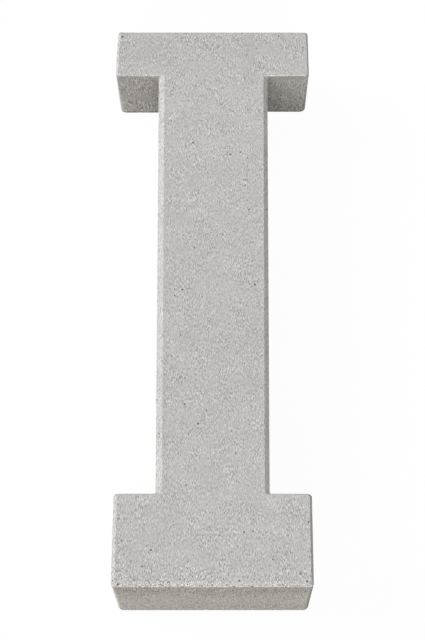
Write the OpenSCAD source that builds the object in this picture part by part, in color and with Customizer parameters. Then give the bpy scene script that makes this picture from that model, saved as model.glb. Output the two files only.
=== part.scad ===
// Concrete grass paver: one I-shaped block, cast in one mould. A long head and a short head
// are joined by a straight web, and soil and grass fill the bays on both sides of the web.
// +X runs across the heads, +Y runs from the long head to the short head and +Z points up.
// The origin is the centre of the underside. Lengths are in millimetres.

/* [Block] */
// Length of the block over both heads
block_length = 600; // [400:5:800]
// Width of the block across the heads
block_width = 200; // [170:5:300]
// Height of the block
block_height = 100; // [60:5:140]
// Length of the long head, along the block
long_head = 96; // [60:1:150]
// Length of the short head, along the block
short_head = 51; // [30:1:120]
// Width of the web between the heads
web_width = 114; // [70:2:140]

/* [Mould shape] */
// Lean of every side: how much further in it stands at the underside
draft = 3.5; // [0.5:0.5:6]
// Radius of the upright corners of the heads
corner_radius = 3.5; // [1:0.5:8]
// Radius of the hollow corners where the heads meet the web
root_radius = 1.5; // [0.5:0.5:6]

/* [Bevels] */
// Depth of the bevel round the top face
bevel_depth = 2.8; // [2:0.1:6]
// Width of that bevel along the web
web_bevel = 5.5; // [2:0.5:8]
// Width of that bevel along the outer ends of the heads
end_bevel = 4; // [2:0.5:8]
// Width of that bevel along the sides of the heads
side_bevel = 3; // [1:0.5:8]
// Depth of the narrow bevel along the heads' edges that face the bays
bay_bevel_depth = 1; // [0.5:0.1:1.5]
// Width of the narrow bevel along the heads' edges that face the bays
bay_bevel = 1.2; // [0.4:0.2:3]
// Size of the small arris bevel round the underside
foot_bevel = 1.2; // [0.4:0.2:3]

/* [Hidden] */
// Straight steps in each quarter turn of a head's corner and of a hollow root corner
corner_steps = 6;
root_steps = 4;
bevel_foot_z = block_height - bevel_depth;
bay_bevel_foot_z = block_height - bay_bevel_depth;
// Share of the main bevel that lies below the foot of the narrow bevel
bevel_share = 1 - bay_bevel_depth / bevel_depth;

// Points on the +X half of the outline: the long head takes two corners, then the web takes
// two root corners, and the short head takes the last two
head_points = 2 * (corner_steps + 1);
root_points = 2 * (root_steps + 1);
half_points = 2 * head_points + root_points;
// The web's own stretch of the outline, which both heads share a point with
web_first = head_points;
web_last = head_points + root_points - 1;

// How far a side leans in from the block's widest line, at the height z
function lean(z) = draft * (1 - z / bevel_foot_z);

// One cross-section: its height, and how far the outer ends, the heads' sides, the bay edges
// and the web's sides stand in there from the block's widest line
function section_at(z, end, side, bay, web) = [z, end, side, bay, web];

// Cross-section of the plain leaning wall, which stands in by the same amount all round
function wall_section(z, inset) = section_at(z, inset, inset, inset, inset);

// The loft's cross-sections, from the underside to the top face
sections = [
    wall_section(0, lean(0) + foot_bevel),
    wall_section(foot_bevel, lean(foot_bevel)),
    wall_section(bevel_foot_z, 0),
    section_at(bay_bevel_foot_z, bevel_share * end_bevel, bevel_share * side_bevel, 0,
               bevel_share * web_bevel),
    section_at(block_height, end_bevel, side_bevel, bay_bevel, web_bevel)
];

// Points of an arc about a centre, from one angle to another
function arc(centre, radius, from, to, steps) = [
    for (i = [0 : steps])
        let (angle = from + (to - from) * i / steps)
        centre + radius * [cos(angle), sin(angle)]
];

// An outer corner of a head, at its -Y edge (turn -1) or at its +Y edge (turn 1)
function head_corner(x, y, turn) =
    arc([x - corner_radius, y - turn * corner_radius], corner_radius,
        turn < 0 ? -90 : 0, turn < 0 ? 0 : 90, corner_steps);

// A hollow corner where the web leaves the long head (turn -1) or meets the short one (turn 1)
function root_corner(x, y, turn) =
    arc([x + root_radius, y - turn * root_radius], root_radius,
        turn < 0 ? 270 : 180, turn < 0 ? 180 : 90, root_steps);

// The +X half of a cross-section's outline, from the long head's end to the short head's end
function half_outline(end, side, bay, web) =
    let (head_x = block_width / 2 - side,
         web_x = web_width / 2 - web,
         near_end = -block_length / 2 + end,
         near_bay = -block_length / 2 + long_head - bay,
         far_bay = block_length / 2 - short_head + bay,
         far_end = block_length / 2 - end)
    concat(head_corner(head_x, near_end, -1),
           head_corner(head_x, near_bay, 1),
           root_corner(web_x, near_bay, -1),
           root_corner(web_x, far_bay, 1),
           head_corner(head_x, far_bay, -1),
           head_corner(head_x, far_end, 1));

// The points of one cross-section: the +X half, then its mirror image in reverse order
function ring(section) =
    let (half = half_outline(section[1], section[2], section[3], section[4]))
    concat([for (p = half) [p.x, p.y, section[0]]],
           [for (i = [half_points - 1 : -1 : 0]) [-half[i].x, half[i].y, section[0]]]);

// The number of the point that mirrors point i of the +X half
function across(i) = 2 * half_points - 1 - i;

// A run of the outline's points on one side, and the run that mirrors it
function run(from, to) = [for (i = [from : to]) i];
function mirror_run(from, to) = [for (i = [to : -1 : from]) across(i)];

// Faces that close a ring, counter-clockwise from above: one for each head and a strip of them
// for the web. A head's list starts at its outer end, so that a fan from there covers it all.
cap_faces = concat(
    [concat(run(0, web_first), mirror_run(0, web_first))],
    [for (i = [web_first : web_last - 1]) concat(run(i, i + 1), mirror_run(i, i + 1))],
    [concat(mirror_run(web_last, half_points - 1), run(web_last, half_points - 1))]
);

function reversed(list) = [for (i = [len(list) - 1 : -1 : 0]) list[i]];

// A closed skin over rings of 2 * half_points points each, lowest ring first
module loft(rings) {
    count = 2 * half_points;
    top_first = (len(rings) - 1) * count;
    underside = cap_faces;
    top = [for (face = cap_faces) reversed([for (i = face) top_first + i])];
    walls = [
        for (low = [0 : count : top_first - count], i = [0 : count - 1])
            let (next = (i + 1) % count)
            [low + i, low + count + i, low + count + next, low + next]
    ];
    polyhedron(points = [for (r = rings, p = r) p], faces = concat(underside, top, walls));
}

// The block: one solid piece of concrete
module paver() {
    color("#bebdba")
        loft([for (section = sections) ring(section)]);
}

paver();
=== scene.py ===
"""The looks of a concrete grass paver: one I-shaped block, cast and compacted in a mould.

The solid gives every size. Its cross-sections are read from the frame and skinned again as a
fine even mesh, which then gets the relief, the worn arrises and the pits of a cast surface.
"""

import logging
import math
from collections.abc import Iterable
from dataclasses import astuple, dataclass, field, replace
from enum import Enum
from functools import partial, reduce
from itertools import product

import bmesh
import bpy
import numpy as np
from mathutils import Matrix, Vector
from mathutils.kdtree import KDTree


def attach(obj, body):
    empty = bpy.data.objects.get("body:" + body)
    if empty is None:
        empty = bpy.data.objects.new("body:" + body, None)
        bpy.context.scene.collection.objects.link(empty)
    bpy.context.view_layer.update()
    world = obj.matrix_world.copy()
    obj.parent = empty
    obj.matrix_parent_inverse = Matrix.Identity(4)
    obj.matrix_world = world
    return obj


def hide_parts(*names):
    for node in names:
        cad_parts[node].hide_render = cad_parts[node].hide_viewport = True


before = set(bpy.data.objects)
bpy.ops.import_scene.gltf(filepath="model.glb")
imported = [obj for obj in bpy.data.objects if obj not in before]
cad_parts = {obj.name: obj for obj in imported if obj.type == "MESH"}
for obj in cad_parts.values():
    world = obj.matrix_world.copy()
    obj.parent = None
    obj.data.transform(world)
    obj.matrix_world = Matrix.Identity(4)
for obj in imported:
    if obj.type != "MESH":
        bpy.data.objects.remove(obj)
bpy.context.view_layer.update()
LOG = logging.getLogger("paver")

# How far apart two lengths may lie and still count as the same, in metres
TOLERANCE = 2e-5
# A length or a share so small that it counts as nothing
TINY = 1e-6
# The range of a share
WHOLE = (0.0, 1.0)
# The cross-section at the foot of the main bevel, counted down from the top one
BEVEL_FOOT = -3

Pair = tuple[float, float]
Vector3 = tuple[float, float, float]
Colour = tuple[float, float, float, float]
Tones = tuple[Pair, ...]
Socket = bpy.types.NodeSocket
Feeds = dict[str | int, object]


class Mask(Enum):
    """Names of the mesh attributes that carry a surface's kind to the nodes."""

    ARRIS_GAP = "arris_gap"
    MOULD_WALL = "mould_wall"
    BAY_WALL = "bay_wall"
    SIDE_WALL = "side_wall"
    BEVEL = "bevel"
    RUBBED = "rubbed_arris"
    PIT = "pit"

    @classmethod
    def of_faces(cls) -> tuple["Mask", ...]:
        """Lists the kinds that the skin's faces carry."""
        return cls.MOULD_WALL, cls.BAY_WALL, cls.SIDE_WALL, cls.BEVEL, cls.RUBBED


class Graph:
    """Short calls that add nodes to a shader or geometry tree and join them."""

    RANGES = ("Value", "From Min", "From Max", "To Min", "To Max")

    def __init__(self, tree: bpy.types.NodeTree) -> None:
        """Keeps the node tree to fill."""
        self.tree = tree

    @staticmethod
    def live(sockets: Iterable[Socket], name: str | None = None) -> Socket:
        """Finds the first socket of that name, or of any, that its node's settings switch on."""
        return next(s for s in sockets if s.enabled and name in (None, s.name))

    def node(self, kind: str, feeds: Feeds | None = None, **settings: object) -> bpy.types.Node:
        """Adds one node.

        Args:
            kind: The node's type name.
            feeds: What goes into its inputs, by input name or number: another node's output,
                which is linked, or a plain value.
            **settings: The node's own properties.

        Returns:
            The new node.
        """
        made = self.tree.nodes.new(kind)
        for name, value in settings.items():
            setattr(made, name, value)
        for name, value in (feeds or {}).items():
            socket = made.inputs[name] if isinstance(name, int) else self.live(made.inputs, name)
            if isinstance(value, Socket):
                self.tree.links.new(value, socket)
            else:
                socket.default_value = value
        return made

    def get(
        self, kind: str, feeds: Feeds | None = None, output: str | None = None, **settings: object
    ) -> Socket:
        """Adds one node, and returns its live output of that name or its first live one."""
        return self.live(self.node(kind, feeds, **settings).outputs, output)

    def math(self, operation: str, *terms: object) -> Socket:
        """Adds a Math node on its terms, which are sockets or numbers."""
        return self.get("ShaderNodeMath", dict(enumerate(terms)), operation=operation)

    def times(self, *terms: object) -> Socket:
        """Multiplies its terms, from left to right."""
        return reduce(partial(self.math, "MULTIPLY"), terms)

    def greatest(self, *terms: object) -> Socket:
        """Finds the greatest of its terms."""
        return reduce(partial(self.math, "MAXIMUM"), terms)

    def scaled(self, vector: object, factor: object) -> Socket:
        """Scales a vector or a colour by a factor."""
        return self.get("ShaderNodeVectorMath", {0: vector, "Scale": factor}, operation="SCALE")

    def axis(self, vector: Socket, name: str) -> Socket:
        """Takes one axis of a vector: X, Y or Z."""
        return self.get("ShaderNodeSeparateXYZ", {0: vector}, name)

    def ramp(
        self, value: Socket, span: tuple = WHOLE, to: tuple = WHOLE, kind: str = "SMOOTHSTEP"
    ) -> Socket:
        """Maps a value from one range to another, and keeps it inside the new one."""
        feeds = dict(zip(self.RANGES, (value, *span, *to)))
        return self.get("ShaderNodeMapRange", feeds, interpolation_type=kind)

    def blend(self, share: object, first: object, second: object, kind: str = "FLOAT") -> Socket:
        """Blends from a first value to a second by a share from 0 to 1."""
        feeds = {"Factor": share, "A": first, "B": second}
        return self.get("ShaderNodeMix", feeds, "Result", data_type=kind)


def add_object(name: str, data: bpy.types.ID) -> bpy.types.Object:
    """Puts a new object into the scene.

    Args:
        name: Its name.
        data: Its mesh, lamp or camera.

    Returns:
        The object.
    """
    made = bpy.data.objects.new(name, data)
    bpy.context.scene.collection.objects.link(made)
    return made


@dataclass(frozen=True)
class Section:
    """Where the block's outline stands at one height, in metres."""

    z: float
    head_x: float
    web_x: float
    near_end: float
    near_bay: float
    far_bay: float
    far_end: float
    corner: float

    @classmethod
    def list_all(cls, node: bpy.types.Object) -> tuple["Section", ...]:
        """Reads the cross-sections off the solid's corners.

        Args:
            node: The block's CAD node.

        Returns:
            One section for each level of the solid, lowest first.
        """
        points = np.array([v.co for v in node.data.vertices], float)
        levels = np.unique(points[:, 2].round(5))
        return tuple(cls.of_ring(points[np.abs(points[:, 2] - z) < TOLERANCE]) for z in levels)

    @classmethod
    def of_ring(cls, ring: np.ndarray) -> "Section":
        """Measures one level of the solid.

        Args:
            ring: The corners of the solid at that level.

        Returns:
            The section.
        """
        x, y = np.abs(ring[:, 0]), ring[:, 1]
        web_x, head_x, near_end = x.min(), x.max(), y.min()
        corner = head_x - x[y < near_end + TOLERANCE].max()
        # The heads' edges along a bay start where the hollow corners beside the web end
        root = x[(x > web_x + TOLERANCE) & (x < head_x - 2 * corner)]
        beside_web = y[x < root.max() + TOLERANCE]
        bay = beside_web.min(), beside_web.max()
        return cls(float(ring[:, 2].mean()), head_x, web_x, near_end, *bay, y.max(), corner)


@dataclass(frozen=True)
class Steps:
    """How closely the fine mesh's lines lie, in metres."""

    arris: float = 0.0005
    open: float = 0.0021
    wall: float = 0.0030
    growth: float = 1.4
    # Underneath, how many lines inside the rim all stay, and one of how many stays beyond them
    under_rim: int = 3
    under_every: int = 4

    def graded(self, length: float, coarse: float) -> np.ndarray:
        """Places lines along a stretch, close at both ends and further apart between them.

        Args:
            length: The stretch's length.
            coarse: The step in its middle.

        Returns:
            The lines' places as shares of the stretch, from 0 to 1.
        """
        steps = []
        step = self.arris
        while sum(steps) + step < length / 2:
            steps.append(step)
            step = min(coarse, step * self.growth)
        steps = np.array(steps + steps[::-1])
        return np.concatenate([[0.0], np.cumsum(steps) / steps.sum()])

    def joined(self, *lengths: float) -> tuple[np.ndarray, tuple[int, int]]:
        """Places lines along three stretches of a flat face.

        Args:
            *lengths: The stretches' lengths.

        Returns:
            The lines' places, from 0 to 3, and the numbers of the lines at 1 and at 2.
        """
        first, middle, last = (self.graded(length, self.open) for length in lengths)
        places = np.concatenate([first[:-1], 1 + middle[:-1], 2 + last])
        return places, (len(first) - 1, len(first) + len(middle) - 2)


@dataclass(frozen=True)
class Trim:
    """Small departures of the cast piece from its even form, in metres.

    A pair holds the values at the near and the far end of a head or a bay.
    """

    # How much further out the top face reaches on each side than the solid's
    web_left: Pair = (-0.0008, -0.0003)
    web_right: Pair = (0.0006, 0.0013)
    heads_left: Pair = (-0.0003, 0.0008)
    heads_right: Pair = (0.0006, 0.0015)
    # How far in the left side stands on the near head, the web and the far head
    near_lean: Pair = (0.0, 0.0010)
    web_lean: Pair = (0.0006, 0.0017)
    far_lean: Pair = (0.0002, 0.0005)
    # Where the near head's lean gives way to the far head's, as a place along the block
    lean_change: float = 1.5
    # How far in it stands besides at the far end's corner, from which place and over how much
    far_corner: float = 0.0009
    far_corner_from: float = 2.5
    far_corner_run: float = 0.3
    # How much narrower each head is on each side at its far edge than at its near one
    head_taper: float = 0.0011
    # How much higher the left side's bevel starts. The lift is gone one part of the way in from
    # that side to the web, if it is cut into this many equal parts
    left_bevel_lift: float = 0.0013
    lift_parts: float = 10.0
    # How far back the far head's upper edge stands over the bay
    far_lip: float = 0.0004
    # The radius of the upright corners at the foot, and of the hollow corners beside the web
    foot_corner: float = 0.0058
    root_radius: float = 0.0026
    # How far in the near end's and the left side's feet stand at the near end
    front_foot: float = 0.0012
    left_foot: float = 0.0015
    # How far out the right side's foot stands, at the near end and at the far head
    right_foot: float = 0.0004
    far_right_foot: float = 0.0019
    # How far the far head's left foot stands forward into the bay, and outwards
    far_left_foot: float = 0.0010
    far_left_spread: float = 0.0006


@dataclass(frozen=True)
class Places:
    """Where points lie on the block's grid, whatever its size: across it and along it.

    Across, a place runs from 0 to 3: the left side, both sides of the web, and the right side.
    So it does along the block: the near end, both ends of the bays, and the far end.
    """

    columns: np.ndarray
    lines: np.ndarray

    def across(self, *values: float) -> np.ndarray:
        """Blends four values, given at the places 0, 1, 2 and 3 across the block."""
        return np.interp(self.columns, range(4), values)

    def along(self, *values: float) -> np.ndarray:
        """Blends four values, given at the places 0, 1, 2 and 3 along the block."""
        return np.interp(self.lines, range(4), values)


@dataclass
class CastForm:
    """The form of the piece as cast: the mould's cross-sections with their small departures."""

    sections: tuple[Section, ...]
    trim: Trim = field(default_factory=Trim)
    # How far from an arris its rubbing reaches, and how much of the way there it takes off
    worn: float = 0.00015
    worn_share: float = 0.25

    def __post_init__(self) -> None:
        """Lists the sections' values, with upright corners that are rounder at the foot."""
        foot = [replace(s, corner=self.trim.foot_corner) for s in self.sections[:2]]
        self.table = np.array([astuple(s) for s in (*foot, *self.sections[2:])])
        self.heights = self.table[:, 0]

    def plain_values(self, level: float) -> np.ndarray:
        """Blends two neighbouring sections: level 1.5 is halfway from section 1 to section 2."""
        numbers = np.arange(len(self.table))
        return np.array([np.interp(level, numbers, column) for column in self.table.T])

    def worn_values(self, level: float) -> np.ndarray:
        """Blends sections as plain_values does, with the arrises between them rubbed round.

        Args:
            level: The level between the sections.

        Returns:
            The values of the section there.
        """
        own = self.plain_values(level)
        if level != round(level):
            return own
        sides = []
        for beside in (level - 1, level + 1):
            if 0 <= beside < len(self.table):
                full = self.plain_values(beside) - own
                # How far apart the sections lie: the rubbing reaches at most half of that way
                reach = max(np.abs(full[:4]).max(), TINY)
                sides.append(full * min(0.5, self.worn / reach))
        return own + self.worn_share * sum(sides)

    def points(self, level: float, at: Places) -> np.ndarray:
        """Turns places into points of one section, with its upright corners rounded.

        Args:
            level: The level between the sections.
            at: The points' places.

        Returns:
            The points, one per row.
        """
        z, head_x, web_x, near_end, near_bay, far_bay, far_end, corner = self.worn_values(level)
        x = at.across(-head_x, -web_x, web_x, head_x)
        y = at.along(near_end, near_bay, far_bay, far_end)
        for edge, turn in ((near_end, 1), (near_bay, -1), (far_bay, 1), (far_end, -1)):
            x, y = self.round_corners(x, y, head_x, edge, turn, corner)
        for edge, turn in ((near_bay, 1), (far_bay, -1)):
            x, y = self.fill_roots(x, y, web_x, edge, turn)
        on_side = np.clip((np.abs(x) - web_x) / (head_x - web_x), 0, 1)
        in_near, in_far = np.clip(at.lines, 0, 1) * (at.lines <= 1), np.clip(at.lines - 2, 0, 1)
        x = x - np.sign(x) * self.trim.head_taper * on_side * np.maximum(in_near, in_far)
        return self.settle(np.stack([x, y, np.full_like(x, z)], axis=1), at)

    def settle(self, points: np.ndarray, at: Places) -> np.ndarray:
        """Moves a section's points by the block's small departures from its even form.

        Args:
            points: The points of one section.
            at: Their places.

        Returns:
            The moved points.
        """
        trim = self.trim
        x, y, z = points.T
        low, high = self.heights[[BEVEL_FOOT, -1]]
        above, below = np.clip((z - low) / (high - low), 0, 1), np.clip(1 - z / low, 0, 1)
        left, right = at.across(1, 0, 0, 0), at.across(0, 0, 0, 1)
        near_end, far_bay = at.along(1, 0, 0, 0), at.along(0, 0, 1, 0)
        on_near, on_far = at.along(*trim.near_lean, 0, 0), at.along(0, 0, *trim.far_lean)
        sides = zip(trim.heads_left, trim.web_left, trim.web_right, trim.heads_right)
        near_reach, far_reach = (at.across(-a, -b, c, d) for a, b, c, d in sides)
        reach = near_reach + (far_reach - near_reach) * np.clip(at.lines - 1, 0, 1)

        x = x + at.across(0, 1, 0, 0) * at.along(0, *trim.web_lean, 0)
        x = x + left * np.where(at.lines < trim.lean_change, on_near, on_far)
        far_part = (at.lines - trim.far_corner_from) / trim.far_corner_run
        x = x + left * trim.far_corner * np.clip(far_part, 0, 1)
        x = x + reach * above
        x = x + below * left * trim.left_foot * near_end
        x = x - below * left * trim.far_left_spread * far_bay
        right_foot = at.along(trim.right_foot, 0, trim.far_right_foot, trim.far_right_foot / 2)
        x = x + below * right * right_foot
        y = y + below * trim.front_foot * near_end
        y = y - below * trim.far_left_foot * far_bay * at.across(1, 1, 0, 0)
        y = y + (1 - below) * trim.far_lip * far_bay
        # The lift is whole at the foot of the bevel, and gone halfway down the wall
        outer = np.clip(trim.lift_parts * left - (trim.lift_parts - 1), 0, 1)
        z = z + trim.left_bevel_lift * outer * (1 - above) * np.clip(1 - 2 * below, 0, 1)
        return np.stack([x, y, z], axis=1)

    def fill_roots(
        self, x: np.ndarray, y: np.ndarray, web_x: float, edge: float, turn: int
    ) -> tuple[np.ndarray, np.ndarray]:
        """Fills the corner between the web and a head to a small arc.

        Args:
            x: The points' places across the block.
            y: Their places along it.
            web_x: Half of the web's width.
            edge: Where the bay's edge lies along the block.
            turn: 1 if the bay lies beyond the edge along +Y, and -1 if it lies before it.

        Returns:
            The points' new places across and along the block.
        """
        radius = self.trim.root_radius
        beyond_web, into_bay = np.abs(x) - web_x, (y - edge) * turn
        on_web, on_head = np.clip(into_bay, 0, radius), np.clip(beyond_web, 0, radius)
        bend = math.pi / 4 * (1 - (on_web + on_head) / radius).clip(0, 1)
        rise = radius * (1 - np.cos(bend))
        along = radius * (1 - np.sin(bend)) - (on_web + on_head).clip(0, radius)
        by_web = on_web >= on_head
        shift_x, shift_y = np.where(by_web, rise, along), np.where(by_web, along, rise)
        # The shift fades out inside the block, where the flat faces have points too
        inside = np.hypot(np.minimum(beyond_web, 0), np.minimum(into_bay, 0))
        fade = np.exp(-inside / (2 * radius))
        return x + np.sign(x) * shift_x * fade, y + turn * shift_y * fade

    @staticmethod
    def round_corners(
        x: np.ndarray, y: np.ndarray, head_x: float, edge: float, turn: int, radius: float
    ) -> tuple[np.ndarray, np.ndarray]:
        """Draws the square corner of a head in to an arc, with the lines beside it.

        Args:
            x: The points' places across the block.
            y: Their places along it.
            head_x: Half of the heads' width.
            edge: Where the corner's edge lies along the block.
            turn: 1 if the head lies beyond the edge along +Y, and -1 if it lies before it.
            radius: The arc's radius.

        Returns:
            The points' new places across and along the block.
        """
        across = np.abs(x) - (head_x - radius)
        along = radius - (y - edge) * turn
        near = (across > 0) & (along > 0) & (along < radius * (1 + TINY))
        a, b = across / radius, np.clip(along / radius, 0, 1)
        new_x = np.sign(x) * (head_x - radius + radius * a * np.sqrt(np.clip(1 - b * b / 2, 0, 1)))
        new_y = edge + turn * (radius - radius * b * np.sqrt(np.clip(1 - a * a / 2, 0, 1)))
        return np.where(near, new_x, x), np.where(near, new_y, y)


@dataclass
class FineSkin:
    """A fine, closed mesh of four-sided faces over the block's form."""

    form: CastForm
    steps: Steps = field(default_factory=Steps)

    def __post_init__(self) -> None:
        """Lays out the grid that both flat faces share, and the rows up the walls by level.

        The cells and the flat faces' points are kept by their column and line numbers.
        """
        top, steps = self.form.sections[-1], self.steps
        side = top.head_x - top.web_x
        self.columns, self.web_columns = steps.joined(side, 2 * top.web_x, side)
        self.lines, self.bay_lines = steps.joined(
            top.near_bay - top.near_end, top.far_bay - top.near_bay, top.far_end - top.far_bay)
        rises = np.diff(self.form.heights)
        rows = [k + steps.graded(rise, steps.wall)[:-1] for k, rise in enumerate(rises)]
        self.rows = np.concatenate([*rows, [len(rises)]])
        cells = np.ones((len(self.columns) - 1, len(self.lines) - 1), bool)
        (first, last), bays = self.web_columns, slice(*self.bay_lines)
        cells[:first, bays] = cells[last:, bays] = False
        self.cells = np.nonzero(cells)
        self.used = np.zeros((len(self.columns), len(self.lines)), bool)
        for di, dj in product((0, 1), repeat=2):
            self.used[self.cells[0] + di, self.cells[1] + dj] = True
        self.flat = np.nonzero(self.used)

    def outline(self) -> np.ndarray:
        """Walks round the grid's edge.

        Returns:
            The column and line numbers of its points, counter-clockwise from above.
        """
        right, far = len(self.columns) - 1, len(self.lines) - 1
        (west, east), (low, high) = self.web_columns, self.bay_lines
        turns = [
            (0, 0), (right, 0), (right, low), (east, low), (east, high), (right, high),
            (right, far), (0, far), (0, high), (west, high), (west, low), (0, low),
        ]
        walk = []
        for (i, j), (i2, j2) in zip(turns, turns[1:] + turns[:1]):
            count = max(abs(i2 - i), abs(j2 - j))
            walk += [(i + (i2 - i) * k // count, j + (j2 - j) * k // count) for k in range(count)]
        return np.array(walk)

    def mesh(self, name: str) -> bpy.types.Mesh:
        """Builds the fine mesh with its attributes.

        Args:
            name: The mesh's name.

        Returns:
            The mesh: closed, with its faces outwards.
        """
        i, j = self.flat
        count = len(i)
        number = np.full(self.used.shape, -1)
        number[i, j] = np.arange(count)
        walk = self.outline()
        rim = number[walk[:, 0], walk[:, 1]]

        flat = Places(self.columns[i], self.lines[j])
        foot, top = (self.form.points(row, flat) for row in self.rows[[0, -1]])
        inner = np.ones(count, bool)
        inner[rim] = False
        foot[inner, 2], top[inner, 2] = self.form.heights[[0, -1]]
        around = Places(self.columns[walk[:, 0]], self.lines[walk[:, 1]])
        rings = [self.form.points(row, around) for row in self.rows[1:-1]]
        points = np.concatenate([foot, top, *rings])
        ring_numbers = 2 * count + np.arange(len(rings) * len(walk)).reshape(len(rings), -1)
        ring_numbers = [rim, *ring_numbers, rim + count]

        a, b = self.cells
        corners = (a, b), (a + 1, b), (a + 1, b + 1), (a, b + 1)
        quad = np.stack([number[corner] for corner in corners], axis=1)
        faces = [quad + count, quad[:, ::-1]]
        for low, high in zip(ring_numbers, ring_numbers[1:]):
            faces.append(np.stack([low, np.roll(low, -1), np.roll(high, -1), high], axis=1))
        mesh = self.plain_mesh(name, points, np.concatenate(faces))
        self.store_gap(mesh, points, ring_numbers)
        self.store_kinds(mesh, 2 * len(quad), walk)
        self.open_underside(mesh)
        return mesh

    @staticmethod
    def plain_mesh(name: str, points: np.ndarray, faces: np.ndarray) -> bpy.types.Mesh:
        """Makes a mesh of four-sided faces.

        Args:
            name: The mesh's name.
            points: Its points, one per row.
            faces: The numbers of each face's points.

        Returns:
            The mesh.
        """
        mesh = bpy.data.meshes.new(name)
        mesh.vertices.add(len(points))
        mesh.vertices.foreach_set("co", points.astype(np.float32).ravel())
        mesh.loops.add(faces.size)
        mesh.loops.foreach_set("vertex_index", faces.astype(np.int32).ravel())
        mesh.polygons.add(len(faces))
        starts = np.arange(0, faces.size, faces.shape[1], dtype=np.int32)
        mesh.polygons.foreach_set("loop_start", starts)
        mesh.update(calc_edges=True)
        return mesh

    def open_underside(self, mesh: bpy.types.Mesh) -> None:
        """Joins the faces underneath into larger ones, away from the rim.

        Args:
            mesh: The fine mesh, whose first points are the underside's.
        """
        i, j = self.flat
        rim, every = self.steps.under_rim, self.steps.under_every
        padded = np.pad(self.used, rim)
        deep = np.ones(len(i), bool)
        for di, dj in product((0, rim, 2 * rim), repeat=2):
            deep &= padded[i + di, j + dj]
        fine = bmesh.new()
        fine.from_mesh(mesh)
        spare = []
        for edge in fine.edges:
            a, b = (v.index for v in edge.verts)
            if max(a, b) >= len(i) or not (deep[a] and deep[b]):
                continue
            in_column = i[a] == i[b] and i[a] % every
            in_line = j[a] == j[b] and j[a] % every
            if in_column or in_line:
                spare.append(edge)
        bmesh.ops.dissolve_edges(fine, edges=spare, use_verts=True)
        fine.to_mesh(mesh)
        fine.free()

    def store_gap(
        self, mesh: bpy.types.Mesh, points: np.ndarray, ring_numbers: list[np.ndarray]
    ) -> None:
        """Stores how far each point is from an arris.

        Args:
            mesh: The fine mesh.
            points: Its points.
            ring_numbers: The point numbers of each row, lowest first.
        """
        arris = np.concatenate([r for row, r in zip(self.rows, ring_numbers) if row == round(row)])
        tree = KDTree(len(arris))
        for k in arris:
            tree.insert(Vector(points[k]), int(k))
        tree.balance()
        gap = np.array([tree.find(Vector(p))[2] for p in points], np.float32)
        mesh.attributes.new(Mask.ARRIS_GAP.value, "FLOAT", "POINT").data.foreach_set("value", gap)

    def store_kinds(self, mesh: bpy.types.Mesh, flat_count: int, walk: np.ndarray) -> None:
        """Stores which faces lay against the mould, stand in a bay or belong to a rubbed arris.

        Args:
            mesh: The fine mesh, whose last faces go round it in rows.
            flat_count: How many faces the top and the underside have.
            walk: The column and line numbers round the grid's edge.
        """
        low, high = self.bay_lines
        (column, line), (next_column, next_line) = walk.T, np.roll(walk, -1, axis=0).T
        in_bay = (np.minimum(line, next_line) >= low) & (np.maximum(line, next_line) <= high)
        rubbed = (line == next_line) & ((line == 0) | (line == high))
        # A head's narrow bevel over a bay starts one section higher than the main bevel
        wall_top = len(self.form.heights) + BEVEL_FOOT + (in_bay & (line == next_line))
        kinds = {kind: [np.zeros(flat_count)] for kind in Mask.of_faces()}
        for row in self.rows[1:]:
            wall = row <= wall_top
            kinds[Mask.MOULD_WALL].append(wall)
            kinds[Mask.BAY_WALL].append(wall & in_bay)
            kinds[Mask.SIDE_WALL].append(wall & (column == next_column))
            kinds[Mask.BEVEL].append(~wall & ~rubbed)
            kinds[Mask.RUBBED].append(~wall & rubbed)
        for kind, values in kinds.items():
            layer = mesh.attributes.new(kind.value, "FLOAT", "FACE")
            layer.data.foreach_set("value", np.concatenate(values).astype(np.float32))


@dataclass(frozen=True)
class Relief:
    """How the cast surface departs from the plain form, in metres. It only ever goes inwards."""

    swell_depth: float = 0.00020
    swell_size: float = 0.045
    grain_depth: float = 0.00011
    grain_size: float = 0.0030
    chip_depth: float = 0.0011
    chip_size: float = 0.0045
    chip_reach: float = 0.0013
    arris_reach: float = 0.0040
    pit_density: float = 9000.0
    pit_spacing: float = 0.0052
    pit_smallest: float = 0.0005
    pit_largest: float = 0.0013
    sharp_angle: float = math.radians(23)
    seed: int = 11
    # Each noise's number of finer octaves, and the shift that sets it apart from the others
    swell_noise: Pair = (1.0, 3.1)
    grain_noise: Pair = (2.0, 7.7)
    chip_noise: Pair = (2.5, 1.3)
    # Between which values of its noise a chip sets in
    chip_from: Pair = (0.64, 0.84)
    # The share of the swell and the grain that is left at an arris
    arris_share: float = 0.2
    # How far up a face looks, as its normal's Z, from where it has pits and where it is flat
    pitted_from: Pair = (-0.9, -0.5)
    flat_from: Pair = (0.2, 0.6)
    # The pits' share of their density on walls and on top, and on top of the far head
    pit_shares: Pair = (0.35, 0.22)
    sound_head: Pair = (0.215, 0.245)
    sound_share: float = 0.35
    # Their share at an arris, how far it reaches, and how far up such a face looks
    pit_arris_share: float = 0.6
    pit_arris: Pair = (0.001, 0.006)
    arris_from: Pair = (-0.1, 0.3)
    # Where along the block the worn near arris ends, with pits at their full density
    worn_end: Pair = (-0.290, -0.280)
    # How rare large pits are, on the sound faces and on the worn arris
    rarity: Pair = (5.0, 1.3)
    # How far out of the surface a pit's middle lies, as a share of its radius
    pit_lift: float = 0.3
    # The least and the greatest share of its radius that a pit has in each direction
    pit_squash: tuple[Vector3, Vector3] = ((0.75, 0.75, 0.75), (1.15, 1.15, 0.95))
    pit_subdivisions: int = 2


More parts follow.
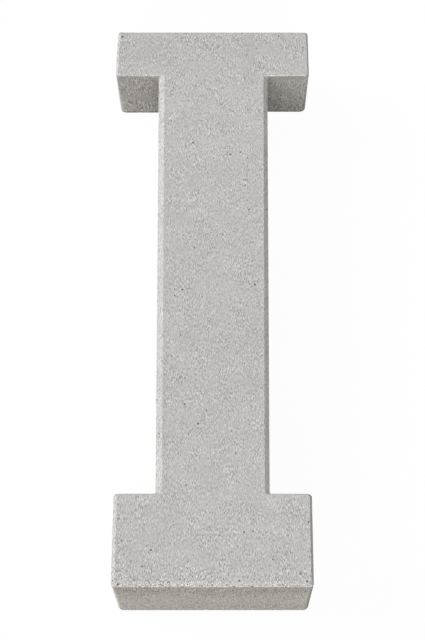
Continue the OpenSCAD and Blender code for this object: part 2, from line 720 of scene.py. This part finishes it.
class CastSurface:
    """The Geometry Nodes tree that gives the skin its relief, chips and pits."""

    # The sizes that become inputs of the tree, under their names in title case
    SIZES = (
        "swell_depth", "swell_size", "grain_depth", "grain_size", "chip_depth", "chip_size",
        "chip_reach", "arris_reach", "pit_density", "pit_spacing", "pit_smallest", "pit_largest",
        "sharp_angle",
    )
    PIT_RADIUS = "pit_radius"

    def __init__(self, relief: Relief, material: bpy.types.Material) -> None:
        """Makes the tree.

        Args:
            relief: The sizes that the tree's inputs take.
            material: The concrete.
        """
        self.relief = relief
        self.material = material
        self.tree = bpy.data.node_groups.new("cast surface", "GeometryNodeTree")
        self.graph = Graph(self.tree)
        self.sockets: dict[str, str] = {}
        self.add_sockets()
        self.given = {s.name: s for s in self.graph.node("NodeGroupInput").outputs}
        self.build()

    def add_sockets(self) -> None:
        """Gives the tree its named inputs and its output."""
        face = self.tree.interface
        face.new_socket("Geometry", in_out="INPUT", socket_type="NodeSocketGeometry")
        kinds = dict.fromkeys(self.SIZES, "Float") | {"seed": "Int", "concrete": "Material"}
        for name, kind in kinds.items():
            label = name.replace("_", " ").title()
            made = face.new_socket(label, in_out="INPUT", socket_type=f"NodeSocket{kind}")
            self.sockets[name] = made.identifier
        face.new_socket("Geometry", in_out="OUTPUT", socket_type="NodeSocketGeometry")

    def build(self) -> None:
        """Joins the tree's three stages: relief, pits and finish."""
        g, given = self.graph, self.given
        surface = self.cut_pits(self.add_relief(given["Geometry"]))
        feeds = {"Geometry": surface, "Shade Smooth": True}
        surface = g.get("GeometryNodeSetShadeSmooth", feeds, domain="FACE")
        angle = g.get("GeometryNodeInputMeshEdgeAngle", output="Unsigned Angle")
        crisp = g.math("GREATER_THAN", angle, given["Sharp Angle"])
        feeds = {"Geometry": surface, "Selection": crisp, "Shade Smooth": False}
        surface = g.get("GeometryNodeSetShadeSmooth", feeds, domain="EDGE")
        surface = g.get("GeometryNodeRealizeInstances", {"Geometry": surface})
        feeds = {"Geometry": surface, "Material": given["Concrete"]}
        g.node("NodeGroupOutput", {"Geometry": g.get("GeometryNodeSetMaterial", feeds)})

    def noise(self, size: Socket, detail: float, shift: float) -> Socket:
        """Adds a noise whose forms have that size, with so many finer octaves."""
        feeds = {"Scale": self.graph.math("DIVIDE", 1.0, size), "Detail": detail, "W": shift}
        return self.graph.get("ShaderNodeTexNoise", feeds, "Fac", noise_dimensions="4D")

    def named(self, name: str) -> Socket:
        """Reads the attribute of that name."""
        feeds, kind = {"Name": name}, "GeometryNodeInputNamedAttribute"
        return self.graph.get(kind, feeds, "Attribute", data_type="FLOAT")

    def store(self, surface: Socket, name: str, value: object, domain: str) -> Socket:
        """Stores a value in an attribute of that name."""
        feeds = {"Geometry": surface, "Name": name, "Value": value}
        return self.graph.get("GeometryNodeStoreNamedAttribute", feeds, domain=domain)

    def moved(self, surface: Socket, along: Socket, distance: Socket) -> Socket:
        """Moves points some distance along a direction."""
        offset = self.graph.scaled(along, distance)
        return self.graph.get("GeometryNodeSetPosition", {"Geometry": surface, "Offset": offset})

    def add_relief(self, surface: Socket) -> Socket:
        """Moves the skin's points inwards by the swell, the sand grain and the chipped arrises.

        Args:
            surface: The fine skin.

        Returns:
            The skin with its relief.
        """
        g, given, relief = self.graph, self.given, self.relief
        swell = g.times(self.noise(given["Swell Size"], *relief.swell_noise), given["Swell Depth"])
        grain = g.times(self.noise(given["Grain Size"], *relief.grain_noise), given["Grain Depth"])
        gap = self.named(Mask.ARRIS_GAP.value)
        edge = g.ramp(gap, (0.0, given["Chip Reach"]), (1.0, 0.0))
        chip = g.ramp(self.noise(given["Chip Size"], *relief.chip_noise), relief.chip_from)
        chip = g.times(chip, edge, given["Chip Depth"])
        whole = g.ramp(gap, (0.0, given["Arris Reach"]), (relief.arris_share, 1.0))
        depth = g.math("ADD", g.times(g.math("ADD", swell, grain), whole), chip)
        return self.moved(surface, g.get("GeometryNodeInputNormal"), g.times(depth, -1.0))

    def pit_share(self, worn: Socket) -> Socket:
        """Works out how close the pits lie: closer along the arrises than on the walls.

        Args:
            worn: Where the worn near arris is.

        Returns:
            The share of their density.
        """
        g, relief = self.graph, self.relief
        up = g.axis(g.get("GeometryNodeInputNormal"), "Z")
        ahead = g.axis(g.get("GeometryNodeInputPosition"), "Y")
        plain = g.times(
            g.ramp(up, relief.flat_from, relief.pit_shares),
            g.ramp(ahead, relief.sound_head, (1.0, relief.sound_share)),
        )
        gap = self.named(Mask.ARRIS_GAP.value)
        edge = g.greatest(g.ramp(gap, relief.pit_arris, (relief.pit_arris_share, 0.0)), worn)
        edge = g.times(edge, g.ramp(up, relief.arris_from))
        return g.times(g.greatest(plain, edge), g.ramp(up, relief.pitted_from))

    def cut_pits(self, surface: Socket) -> Socket:
        """Cuts air pits into the skin.

        Args:
            surface: The skin with its relief.

        Returns:
            The pitted skin.
        """
        g, given, relief = self.graph, self.given, self.relief
        ahead = g.axis(g.get("GeometryNodeInputPosition"), "Y")
        worn = g.math("SUBTRACT", 1.0, g.ramp(ahead, relief.worn_end))
        feeds = {
            "Mesh": surface, "Seed": given["Seed"],
            "Distance Min": given["Pit Spacing"], "Density Max": given["Pit Density"],
            "Density Factor": self.pit_share(worn),
        }
        spread = g.node("GeometryNodeDistributePointsOnFaces", feeds, distribute_method="POISSON")
        names = "Points", "Normal", "Rotation"
        points, outwards, turn = (g.live(spread.outputs, name) for name in names)

        feeds = {"Min": 0.0, "Max": 1.0, "Seed": given["Seed"]}
        chance = g.get("FunctionNodeRandomValue", feeds, data_type="FLOAT")
        bigness = g.math("POWER", chance, g.ramp(worn, to=relief.rarity))
        span = g.math("SUBTRACT", given["Pit Largest"], given["Pit Smallest"])
        radius = g.math("ADD", g.times(bigness, span), given["Pit Smallest"])
        points = self.store(points, self.PIT_RADIUS, radius, "POINT")
        radius = self.named(self.PIT_RADIUS)
        points = self.moved(points, outwards, g.times(radius, relief.pit_lift))

        feeds = {"Radius": 1.0, "Subdivisions": relief.pit_subdivisions}
        ball = g.get("GeometryNodeMeshIcoSphere", feeds)
        feeds = {"Min": relief.pit_squash[0], "Max": relief.pit_squash[1], "Seed": given["Seed"]}
        squash = g.get("FunctionNodeRandomValue", feeds, data_type="FLOAT_VECTOR")
        scale = g.scaled(squash, radius)
        feeds = {"Points": points, "Instance": ball, "Rotation": turn, "Scale": scale}
        pits = g.get("GeometryNodeInstanceOnPoints", feeds)
        pits = g.get("GeometryNodeRealizeInstances", {"Geometry": pits})
        kinds = {kind: self.named(kind.value) for kind in Mask.of_faces()}
        for kind, value in {Mask.PIT: 1.0, **kinds}.items():
            pits = self.store(pits, kind.value, value, "FACE")
        feeds = {"Mesh 1": surface, "Mesh 2": pits}
        kind = "GeometryNodeMeshBoolean"
        return g.get(kind, feeds, "Mesh", operation="DIFFERENCE", solver="MANIFOLD")

    def dress(self, skin: bpy.types.Object) -> bpy.types.Mesh:
        """Runs the tree on the fine skin.

        Args:
            skin: The object that holds the fine skin.

        Returns:
            The finished mesh.
        """
        modifier = skin.modifiers.new("cast surface", "NODES")
        modifier.node_group = self.tree
        for name, identifier in self.sockets.items():
            is_size = name != "concrete"
            modifier[identifier] = getattr(self.relief, name) if is_size else self.material
        skin.update_tag()
        depsgraph = bpy.context.evaluated_depsgraph_get()
        mesh = bpy.data.meshes.new_from_object(
            skin.evaluated_get(depsgraph), preserve_all_data_layers=True, depsgraph=depsgraph)
        skin.modifiers.clear()
        mesh.materials.clear()
        mesh.materials.append(self.material)
        mesh.polygons.foreach_set("material_index", np.zeros(len(mesh.polygons), np.int32))
        return mesh


@dataclass(frozen=True)
class ConcreteFinish:
    """Light grey concrete, bare and dry: sandy on top, warmer where it lay against the mould, with
    light and shade painted on its walls, arrises, pits and feet.

    A contrast says how far the grain swings the tone, and a share or a gain multiplies a value.
    Zones are in metres, from the one side of a change to the other.
    """

    name: str = "cast concrete"
    paste: Colour = (0.5165, 0.509, 0.4985, 1.0)
    end_paste: Colour = (0.447, 0.417, 0.382, 1.0)
    # Paler paste on the rubbed bevels: their wear, with a painted highlight; on the far head's lip
    # over the bay, a stronger painted highlight
    rubbed_lit_paste: Colour = (0.584, 0.559, 0.534, 1.0)
    lip_highlight_paste: Colour = (0.605, 0.593, 0.567, 1.0)
    bay_paste: Colour = (0.430, 0.407, 0.380, 1.0)
    roughness: float = 0.92
    specular: float = 0.25
    # The sand grain: its size, and how much it is squeezed across, along and up the block
    sand_size: float = 0.0008
    top_squeeze: Vector3 = (1.3, 0.28, 1.0)
    wall_squeeze: Vector3 = (0.75, 0.75, 0.15)
    top_bump: float = 0.00030
    wall_bump: float = 0.00055
    top_contrast: float = 0.402
    end_contrast: float = 0.42
    # In the left bay and in the right one
    bay_contrast: Pair = (0.545, 0.475)
    # The outer walls' contrast by height, as shares of the block's
    rough_from: Pair = (0.45, 0.85)
    rough_gain: Pair = (0.82, 1.45)
    # The share of the contrast that single kinds of surface have
    kind_shares: tuple[tuple[Mask, float], ...] = (
        (Mask.SIDE_WALL, 0.55), (Mask.BEVEL, 0.78), (Mask.RUBBED, 1.3),
    )
    # Where the top is rougher: at the near end, on the left of the near head, at the far end
    worn_front: Pair = (-0.294, -0.272)
    worn_left: Pair = (-0.094, -0.082)
    worn_left_end: Pair = (-0.206, -0.202)
    worn_back: Pair = (0.278, 0.295)
    worn_gain: float = 1.42
    worn_left_gain: float = 1.35
    worn_back_gain: float = 1.24
    # Each noise's number of finer octaves, and their strength
    sand_noise: Pair = (2.0, 0.6)
    patch_noise: Pair = (2.0, 0.5)
    mottle_noise: Pair = (3.0, 0.5)
    # The values of each noise that count as its least and its most
    sand_span: Pair = (0.25, 0.75)
    patch_span: Pair = (0.34, 0.66)
    mottle_span: Pair = (0.3, 0.7)
    # Patches of stronger and weaker grain, and paler and darker mottling
    patch_size: float = 0.016
    patch_swing: float = 0.35
    mottle_size: float = 0.026
    top_mottle: float = 0.026
    wall_mottle: float = 0.03
    # Pores and flecks: their size, where in it their rim lies, and how many of the cells hold one. A
    # pore's dark is painted shade
    pore_size: float = 0.0024
    pore_rim: Pair = (0.18, 0.34)
    pore_share: float = 0.14
    pore_shade_range: Pair = (0.15, 0.50)
    fleck_share: float = 0.06
    fleck_gain: float = 0.16
    # Painted shade in the pits and at the feet of the bays' walls, a painted highlight on the arrises
    # and painted light on the far end's upper edge
    pit_shade: float = 0.31
    arris_highlight_zone: Pair = (0.0002, 0.0012)
    arris_highlight: float = 1.04
    foot_shade_zone: Pair = (0.0030, 0.0048)
    foot_shade: float = 0.58
    back_edge_light_zone: Pair = (0.2952, 0.2966)
    back_edge_light: float = 1.08
    # Where the outer walls count as the near end, as a share of half the block's length
    front_zone: Pair = (-0.988, -0.974)
    # Painted light and shade by height, as a share of the block's: on the outer walls and in each bay
    end_painted_shading: Tones = (
        (0.0, 1.07), (0.19, 1.09), (0.32, 1.07), (0.44, 1.06), (0.56, 1.02), (0.63, 0.995),
        (0.71, 0.965), (0.755, 0.89), (0.805, 0.85), (0.87, 0.875), (0.95, 0.925),
    )
    left_bay_painted_shading: Tones = (
        (0.0, 1.16), (0.19, 1.12), (0.28, 1.08), (0.39, 1.03), (0.50, 1.01), (0.60, 1.02),
        (0.71, 1.08), (0.84, 1.05), (0.97, 1.04),
    )
    right_bay_painted_shading: Tones = (
        (0.0, 0.88), (0.24, 0.90), (0.36, 0.93), (0.50, 1.0), (0.60, 0.98), (0.71, 1.0),
        (0.83, 1.02), (0.93, 0.97), (0.975, 0.86),
    )
    # Painted light and shade across the block, as a share of half its width: bright and dark strips at
    # the upright corners, and the left bay's walls darker
    bay_corner_painted_shading: Tones = (
        (-1.0, 1.12), (-0.99, 1.03), (-0.98, 0.85), (-0.57, 0.885), (-0.43, 1.05), (0.43, 0.91),
        (0.57, 1.01), (0.76, 1.03), (0.94, 1.08), (0.97, 1.15), (0.98, 1.18), (0.99, 1.05),
        (1.0, 0.84), (1.01, 0.78),
    )
    front_corner_painted_shading: Tones = (
        (-0.995, 1.10), (-0.987, 1.35), (-0.979, 1.58), (-0.969, 1.33), (-0.96, 1.0),
        (-0.945, 0.96), (-0.93, 1.0), (0.88, 1.0), (0.93, 1.05), (0.962, 1.07), (0.972, 0.87),
        (0.981, 0.71), (0.99, 0.76), (1.0, 0.78),
    )
    # Tones along the block, in metres from its middle
    top_tones: Tones = (
        (-0.300, 1.015), (-0.280, 1.03), (-0.255, 1.01), (-0.235, 1.018), (-0.200, 1.028),
        (-0.150, 1.01), (-0.110, 1.002), (-0.050, 1.0), (0.0, 1.014), (0.040, 1.01),
        (0.090, 1.018), (0.140, 1.026), (0.190, 1.034), (0.235, 1.03), (0.250, 1.015),
        (0.265, 1.0), (0.278, 0.98), (0.287, 0.978), (0.297, 1.0),
    )


class ConcretePaint:
    """Turns a concrete finish into a material, one layer at a time."""

    def __init__(self, finish: ConcreteFinish, sections: tuple[Section, ...]) -> None:
        """Makes the procedural concrete.

        Args:
            finish: The finish to follow.
            sections: The block's cross-sections, whose walls the tone follows.
        """
        self.finish = finish
        self.material = bpy.data.materials.new(finish.name)
        self.material.use_nodes = True
        self.material.node_tree.nodes.clear()
        self.graph = g = Graph(self.material.node_tree)
        self.place = g.get("ShaderNodeTexCoord", output="Object")
        self.x, self.y, self.z = (g.axis(self.place, name) for name in "XYZ")
        self.wall = self.mask(Mask.MOULD_WALL)
        self.bay = self.mask(Mask.BAY_WALL)
        foot, wall_top, top = sections[0], sections[BEVEL_FOOT], sections[-1]
        rise = (foot.z, wall_top.z)
        half_width = g.ramp(self.z, rise, (foot.head_x, wall_top.head_x), "LINEAR")
        half_length = g.ramp(self.z, rise, (foot.far_end, wall_top.far_end), "LINEAR")
        self.across = g.math("DIVIDE", self.x, half_width)
        self.along = g.math("DIVIDE", self.y, half_length)
        self.height = g.math("DIVIDE", self.z, top.z)
        self.sand = self.add_sand()
        self.build()

    def build(self) -> None:
        """Joins the colour, the bump and the shader."""
        g, finish = self.graph, self.finish
        # The rubbed bevels are paler: wear, with a painted highlight, strongest on the far head's lip
        in_far_half = g.math("GREATER_THAN", self.y, 0.0)
        rubbed = g.blend(in_far_half, finish.rubbed_lit_paste, finish.lip_highlight_paste, "RGBA")
        top = g.blend(self.mask(Mask.RUBBED), finish.paste, rubbed, "RGBA")
        paste = self.by_surface(top, finish.end_paste, finish.bay_paste)
        depth = g.blend(self.wall, finish.top_bump, finish.wall_bump)
        relief = {"Strength": 1.0, "Distance": 1.0, "Height": g.times(self.sand, depth)}
        feeds = {
            "Base Color": g.scaled(paste, g.times(self.surface_tone(), self.painted_shading_and_tones())),
            "Roughness": finish.roughness,
            "Specular IOR Level": finish.specular,
            "Normal": g.get("ShaderNodeBump", relief),
        }
        g.node("ShaderNodeOutputMaterial", {"Surface": g.get("ShaderNodeBsdfPrincipled", feeds)})

    def mask(self, mask: Mask) -> Socket:
        """Reads one of the block's attributes."""
        return self.graph.get("ShaderNodeAttribute", output="Fac", attribute_name=mask.value)

    def by_surface(self, top: object, end: object, bay: object) -> Socket:
        """Chooses between values for the top, the outer walls and the bays' walls."""
        kind = "RGBA" if isinstance(end, tuple) else "FLOAT"
        return self.graph.blend(self.wall, top, self.graph.blend(self.bay, end, bay, kind), kind)

    def by_side(self, left: object, right: object) -> Socket:
        """Chooses a value for the block's left half and another for its right half."""
        return self.graph.blend(self.graph.math("GREATER_THAN", self.x, 0.0), left, right)

    def curve(self, place: Socket, stops: Tones) -> Socket:
        """Draws a line through given places and tones.

        Args:
            place: Where on the line each point lies.
            stops: The places and the tones there, which lie below 2.

        Returns:
            The tone at each point.
        """
        first, last = stops[0][0], stops[-1][0]
        share = self.graph.ramp(place, (first, last), kind="LINEAR")
        drawn = self.graph.node("ShaderNodeValToRGB", {"Fac": share})
        marks = drawn.color_ramp.elements
        while len(marks) < len(stops):
            marks.new(1.0)
        for mark, (where, tone) in zip(marks, stops):
            mark.position = (where - first) / (last - first)
            mark.color = (tone / 2, tone / 2, tone / 2, 1.0)
        return self.graph.times(self.graph.live(drawn.outputs, "Color"), 2.0)

    def noise(self, place: Socket, size: float, detail: float, roughness: float) -> Socket:
        """Adds a noise whose forms have that size, with so many finer octaves that strong."""
        feeds = {"Vector": place, "Scale": 1 / size, "Detail": detail, "Roughness": roughness}
        return self.graph.get("ShaderNodeTexNoise", feeds, "Fac")

    def swinging(self, noise: Socket, span: Pair, swing: object) -> Socket:
        """Turns a noise into a swing about 0 that is as wide as given."""
        return self.graph.times(self.graph.ramp(noise, span, (-1.0, 1.0)), swing)

    def add_sand(self) -> Socket:
        """Adds the sand grain, drawn out into upright drag marks on the walls.

        Returns:
            The grain's value, about 0.5 on average.
        """
        g, finish = self.graph, self.finish
        pairs = zip("XYZ", finish.top_squeeze, finish.wall_squeeze)
        squeeze = {name: g.blend(self.wall, on_top, on_wall) for name, on_top, on_wall in pairs}
        feeds = {0: self.place, 1: g.get("ShaderNodeCombineXYZ", squeeze)}
        drawn = g.get("ShaderNodeVectorMath", feeds, operation="MULTIPLY")
        return self.noise(drawn, finish.sand_size, *finish.sand_noise)

    def grain_contrast(self) -> Socket:
        """Works out how far the grain swings the tone on each surface.

        Returns:
            The contrast at each point.
        """
        g, finish = self.graph, self.finish
        in_bay = self.by_side(*finish.bay_contrast)
        contrast = self.by_surface(finish.top_contrast, finish.end_contrast, in_bay)
        on_wall = g.ramp(self.height, finish.rough_from, finish.rough_gain)
        shares = [g.blend(self.mask(kind), 1.0, share) for kind, share in finish.kind_shares]
        return g.times(contrast, self.by_surface(self.worn_share(), on_wall, 1.0), *shares)

    def surface_tone(self) -> Socket:
        """Works out the light and dark of the grain, the mottling and the flecks, and the painted
        shade of the pores.

        Returns:
            A factor for the colour, about 1 on average.
        """
        g, finish = self.graph, self.finish
        patch = self.noise(self.place, finish.patch_size, *finish.patch_noise)
        swing = finish.patch_swing
        patch = g.ramp(patch, finish.patch_span, (1.0 - swing, 1.0 + swing))
        grain = self.swinging(self.sand, finish.sand_span, g.times(self.grain_contrast(), patch))
        swing = g.blend(self.wall, finish.top_mottle, finish.wall_mottle)
        mottle = self.noise(self.place, finish.mottle_size, *finish.mottle_noise)
        mottle = self.swinging(mottle, finish.mottle_span, swing)

        feeds = {"Vector": self.place, "Scale": 1 / finish.pore_size}
        cells = g.node("ShaderNodeTexVoronoi", feeds)
        lots = g.node("ShaderNodeSeparateColor", {0: g.live(cells.outputs, "Color")})
        kind_lot, shade_lot = (g.live(lots.outputs, name) for name in ("Red", "Green"))
        near = g.ramp(g.live(cells.outputs, "Distance"), finish.pore_rim, (1.0, 0.0))
        is_pore = g.math("LESS_THAN", kind_lot, g.times(patch, finish.pore_share))
        # A pore is painted dark: painted shade of a hole too small to cut
        pore_shade = g.times(near, is_pore, g.ramp(shade_lot, to=finish.pore_shade_range))
        is_fleck = g.math("GREATER_THAN", kind_lot, 1.0 - finish.fleck_share)
        fleck = g.times(near, is_fleck, finish.fleck_gain)
        tone = g.math("ADD", g.math("ADD", 1.0, grain), g.math("ADD", mottle, fleck))
        return g.math("SUBTRACT", tone, pore_shade)

    def worn_share(self) -> Socket:
        """Works out how much rougher the top is near the ends and the near head's left arris.

        Returns:
            A factor for the top's contrast.
        """
        g, finish = self.graph, self.finish
        front = g.ramp(self.y, finish.worn_front, (finish.worn_gain, 1.0))
        side = g.ramp(self.x, finish.worn_left, (finish.worn_left_gain, 1.0))
        side = g.times(side, g.ramp(self.y, finish.worn_left_end, (1.0, 0.0)))
        back = g.ramp(self.y, finish.worn_back, (1.0, finish.worn_back_gain))
        return g.greatest(front, side, back)

    def painted_shading_and_tones(self) -> Socket:
        """Works out the painted shade in the pits and at the feet, the painted highlight on the
        arrises, and the painted light and shade over the faces with the tones along the top.

        Returns:
            A factor for the colour.
        """
        g, finish = self.graph, self.finish
        # Painted highlight on the near end's left upright corner, painted shade on its right one
        in_front = g.ramp(self.along, finish.front_zone, (1.0, 0.0))
        by_side = g.blend(in_front, 1.0, self.curve(self.across, finish.front_corner_painted_shading))
        # Painted light and shade by height on the outer walls
        end = g.times(self.curve(self.height, finish.end_painted_shading), by_side)
        # Painted light and shade in the bays, by height on each side and across them
        tones = finish.left_bay_painted_shading, finish.right_bay_painted_shading
        bay = self.by_side(*(self.curve(self.height, stops) for stops in tones))
        bay = g.times(bay, self.curve(self.across, finish.bay_corner_painted_shading))
        # Painted light on the far end's upper edge
        top = g.ramp(self.y, finish.back_edge_light_zone, (1.0, finish.back_edge_light))
        top = g.times(top, self.curve(self.y, finish.top_tones))
        # Painted shade at the foot of the bays' walls, where they meet the floor
        foot = self.by_surface(1.0, 1.0, g.ramp(self.z, finish.foot_shade_zone, (finish.foot_shade, 1.0)))
        # Painted highlight along the arrises
        arris = g.ramp(self.mask(Mask.ARRIS_GAP), finish.arris_highlight_zone, (finish.arris_highlight, 1.0))
        # Painted shade in the pits
        pit = g.blend(self.mask(Mask.PIT), 1.0, finish.pit_shade)
        return g.times(self.by_surface(top, end, bay), foot, arris, pit)


@dataclass
class GrassPaver:
    """The block itself: one cast piece, dressed over its solid."""

    node: str = "paver"
    piece_name: str = "paver_cast_block"
    slot: str = "concrete"
    body: str = "root"
    relief: Relief = field(default_factory=Relief)
    finish: ConcreteFinish = field(default_factory=ConcreteFinish)

    def build(self) -> bpy.types.Object:
        """Makes the dressed block and joins it to the frame.

        Returns:
            The finished piece.
        """
        sections = Section.list_all(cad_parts[self.node])
        skin = add_object("fine skin", FineSkin(CastForm(sections)).mesh("fine skin"))
        concrete = ConcretePaint(self.finish, sections).material
        dressed = CastSurface(self.relief, concrete).dress(skin)
        bpy.data.objects.remove(skin)
        piece = add_object(self.piece_name, dressed)
        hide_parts(self.node)
        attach(piece, self.body)
        return piece


@dataclass(frozen=True)
class Lamp:
    """A soft lamp far from the block: its strength, where its light comes from and its width."""

    name: str
    power: float
    from_place: Vector3
    softness: float


@dataclass(frozen=True)
class Studio:
    """A plain pale floor under two soft lamps and an even sky, and the camera."""

    floor_half: float = 9.0
    floor_colour: Colour = (0.50, 0.50, 0.50, 1.0)
    floor_glow: float = 1.04
    floor_shadow: float = 0.07
    sky_colour: Colour = (1.0, 1.0, 1.0, 1.0)
    sky_light: float = 0.35
    lamps: tuple[Lamp, ...] = (
        Lamp("side window", 2.80, (-0.822, 0.324, 0.470), math.radians(40)),
        Lamp("front window", 1.51, (-0.062, -0.881, 0.470), math.radians(40)),
    )
    camera_place: Vector3 = (0.0002, -1.3806, 3.6980)
    camera_tilt: float = math.radians(20.71)
    camera_reach: float = 50.0
    lens: float = 214.6

    def build(self) -> None:
        """Sets the floor, the light and the camera."""
        self.set_floor()
        self.set_sky()
        for lamp in self.lamps:
            self.set_lamp(lamp)
        self.set_camera()
        bpy.context.scene.view_settings.view_transform = "Standard"

    @staticmethod
    def seen_rays(g: Graph) -> Socket:
        """Gives 1 for rays that show the background, straight or reflected, and 0 otherwise."""
        path, kinds = g.node("ShaderNodeLightPath").outputs, ("Camera", "Glossy", "Transmission")
        return g.greatest(*(path[f"Is {kind} Ray"] for kind in kinds))

    def set_floor(self) -> None:
        """Lays a wide floor that shows white and keeps the block's soft shadow."""
        half = self.floor_half
        corners = [(-half, -half, 0), (half, -half, 0), (half, half, 0), (-half, half, 0)]
        mesh = bpy.data.meshes.new("floor")
        mesh.from_pydata(corners, [], [(0, 1, 2, 3)])
        floor = add_object("floor", mesh)
        material = bpy.data.materials.new("pale floor")
        material.use_nodes = True
        material.node_tree.nodes.clear()
        g = Graph(material.node_tree)
        matt = g.get("ShaderNodeBsdfDiffuse", {"Color": self.floor_colour})
        glow = g.get("ShaderNodeEmission", {"Strength": self.floor_glow})
        share = g.times(self.seen_rays(g), 1.0 - self.floor_shadow)
        both = g.get("ShaderNodeMixShader", {0: share, 1: matt, 2: glow})
        g.node("ShaderNodeOutputMaterial", {"Surface": both})
        mesh.materials.append(material)

    def set_sky(self) -> None:
        """Lights the scene evenly from all round, with white behind it."""
        world = bpy.data.worlds.new("sky")
        bpy.context.scene.world = world
        world.use_nodes = True
        world.node_tree.nodes.clear()
        g = Graph(world.node_tree)
        strength = g.blend(self.seen_rays(g), self.sky_light, 1.0)
        sky = g.get("ShaderNodeBackground", {"Color": self.sky_colour, "Strength": strength})
        g.node("ShaderNodeOutputWorld", {"Surface": sky})

    @staticmethod
    def set_lamp(lamp: Lamp) -> None:
        """Adds one soft lamp.

        Args:
            lamp: The lamp to add.
        """
        light = bpy.data.lights.new(lamp.name, "SUN")
        light.energy = lamp.power
        light.angle = lamp.softness
        holder = add_object(lamp.name, light)
        holder.rotation_euler = Vector(lamp.from_place).to_track_quat("Z", "Y").to_euler()

    def set_camera(self) -> None:
        """Stands the long-lensed camera high in front of the long head."""
        data = bpy.data.cameras.new("camera")
        data.lens = self.lens
        data.clip_end = self.camera_reach
        camera = add_object("camera", data)
        camera.location = self.camera_place
        camera.rotation_euler = (self.camera_tilt, 0.0, 0.0)
        bpy.context.scene.camera = camera


def write_sizes() -> None:
    bpy.context.view_layer.update()


def main() -> None:
    """Builds the block and the studio, and reports each piece."""
    logging.basicConfig(level=logging.INFO, format="%(name)s: %(message)s")
    piece = GrassPaver().build()
    LOG.info("%s: %d points, %d faces", piece.name, len(piece.data.vertices), len(piece.data.polygons))
    Studio().build()
    write_sizes()


if __name__ == "__main__":
    main()
